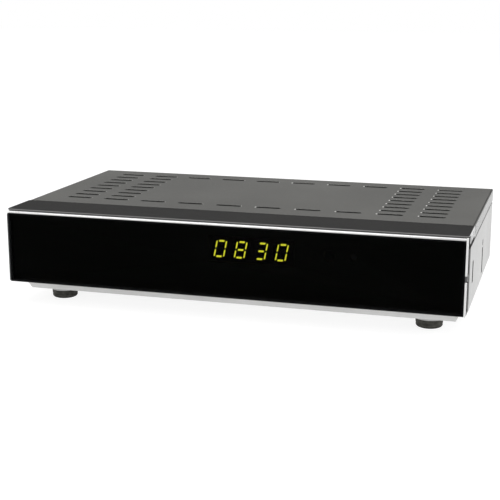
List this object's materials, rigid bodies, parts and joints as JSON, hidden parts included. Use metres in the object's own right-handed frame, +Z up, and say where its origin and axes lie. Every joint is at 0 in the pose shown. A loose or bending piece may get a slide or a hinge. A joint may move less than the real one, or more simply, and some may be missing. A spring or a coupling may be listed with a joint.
{
  "type": "satellite tv receiver",
  "caption": "Low sheet-steel satellite receiver with a gloss black front, slanted green digits, a vented lid, rear sockets and four rubber feet.",
  "frame": {"origin": "on the floor plane, in the middle of the bounding box", "axes": "+X to the right as seen from the front, the front faces -Y, +Z up"},
  "size_m": [0.2806, 0.166, 0.0609],
  "materials": {
    "smoked_acrylic": "gloss",
    "mask_black": "satin",
    "silver_trim": "satin",
    "dark_abs": "fine grain",
    "lid_paint": "satin",
    "zinc_steel": "zinc plated",
    "zinc_screw": "zinc plated",
    "rubber_black": "matt",
    "button_grey": "satin",
    "black_plastic": "satin",
    "display_glow": "gloss",
    "display_off": "gloss",
    "board_green": "solder mask",
    "board_brown": "solder mask",
    "tin_plate": "tin plated",
    "nickel": "nickel plated",
    "brass_post": "turned",
    "insulator_white": "satin",
    "heat_aluminium": "extruded",
    "chip_black": "matt",
    "capacitor_sleeve": "shrink sleeve",
    "transformer_tape": "tape over ferrite",
    "film_clear": "film",
    "wire_red": "insulated",
    "wire_blue": "insulated",
    "ribbon_grey": "ribbon",
    "fuse_glass": "glass tube in clips"
  },
  "bodies": {
    "case": {"front_window": "smoked_acrylic", "window_tape": "mask_black", "bezel_trim": "silver_trim", "front_frame": "dark_abs", "display_module": "mask_black", "display_digits": "display_glow", "display_segments_dark": "display_off", "display_board": "board_brown", "display_screws": "zinc_screw", "infrared_receiver": "black_plastic", "status_led": "insulator_white", "button_switch": "black_plastic", "top_cover": "lid_paint", "cover_screws": "zinc_screw", "chassis": "zinc_steel", "frame_screws": "zinc_screw", "foot_front_left": "rubber_black", "foot_front_right": "rubber_black", "foot_rear_left": "rubber_black", "foot_rear_right": "rubber_black", "foot_screws": "zinc_screw", "rear_panel": "zinc_steel", "rear_panel_screws": "zinc_screw", "tuner_can": "tin_plate", "lnb_input_socket": "nickel", "lnb_output_socket": "nickel", "lnb_insulators": "insulator_white", "lnb_nuts": "nickel", "scart_shell": "tin_plate", "scart_insert": "black_plastic", "hdmi_socket": "tin_plate", "usb_socket": "tin_plate", "ethernet_socket": "black_plastic", "phono_block": "black_plastic", "phono_barrels": "nickel", "phono_insulators": "insulator_white", "mains_inlet": "black_plastic", "mains_pins": "nickel", "switch_housing": "black_plastic", "main_board": "board_green", "main_board_standoffs": "brass_post", "main_board_screws": "zinc_screw", "processor": "chip_black", "processor_heatsink": "heat_aluminium", "memory_chips": "chip_black", "board_capacitors": "capacitor_sleeve", "board_headers": "insulator_white", "power_board": "board_brown", "power_board_standoffs": "brass_post", "power_board_screws": "zinc_screw", "power_insulator": "film_clear", "transformer": "transformer_tape", "power_capacitors": "capacitor_sleeve", "power_heatsink": "heat_aluminium", "mains_fuse": "fuse_glass", "power_harness": "wire_red", "mains_leads": "wire_blue", "front_ribbon": "ribbon_grey"},
    "button": {"standby_button": "button_grey"},
    "rocker": {"switch_rocker": "black_plastic"}
  },
  "joints": [
    {"name": "standby_press", "type": "slide", "parent": "case", "child": "button", "axis": [-1, 0, 0], "range_m": [0, 0.0005], "stiffness_N_per_m": 1500, "springref_m": -0.0005},
    {"name": "mains_rock", "type": "hinge", "parent": "case", "child": "rocker", "pos_m": [-0.125, 0.0728, 0.037], "axis": [1, 0, 0], "range_deg": [-18, 0]}
  ]
}
